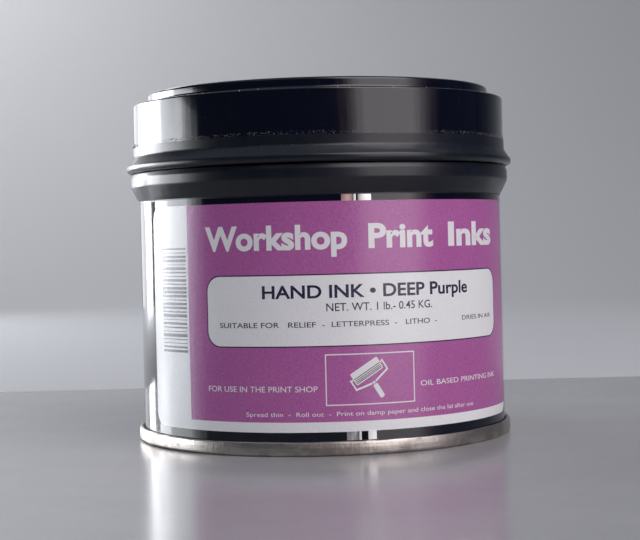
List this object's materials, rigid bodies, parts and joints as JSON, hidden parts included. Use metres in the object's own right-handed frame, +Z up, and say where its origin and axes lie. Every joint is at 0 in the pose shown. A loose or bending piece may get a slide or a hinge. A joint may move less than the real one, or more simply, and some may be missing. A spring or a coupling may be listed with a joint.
{
  "type": "printing ink tin",
  "caption": "Round tinplate printing-ink tin with a slip-on lid, a taped joint, a wrapped label, its ink and a loose skin paper.",
  "frame": {"origin": "middle of the base, on the surface that the tin stands on", "axes": "+Z up the tin's axis through the lid; the middle of the label faces -Y; +X to the right as the label is read"},
  "size_m": [0.0894, 0.0894, 0.079],
  "materials": {
    "black_lacquer": "gloss",
    "bare_tinplate": "satin",
    "sealing_compound": "matte",
    "purple_ink": "gloss",
    "label_paper": "satin",
    "black_tape": "satin",
    "waxed_paper": "satin"
  },
  "bodies": {
    "can": {"can_body": "black_lacquer", "side_seam": "bare_tinplate", "bottom_end": "bare_tinplate", "seam_compound": "sealing_compound", "ink": "purple_ink", "label": "label_paper", "tape_lower": "black_tape"},
    "lid": {"lid": "black_lacquer", "lid_gasket": "sealing_compound", "tape_upper": "black_tape"},
    "skin_paper": {"skin_paper": "waxed_paper"}
  },
  "joints": [
    {"name": "lid_lift", "type": "slide", "parent": "can", "child": "lid", "axis": [0, 0, 1], "range_m": [0, 0.06]},
    {"name": "paper_lift", "type": "slide", "parent": "can", "child": "skin_paper", "axis": [0, 0, 1], "range_m": [0, 0.027]}
  ],
  "couplings": [
    {"joint": "paper_lift", "follows": "lid_lift", "ratio": 0.45}
  ]
}
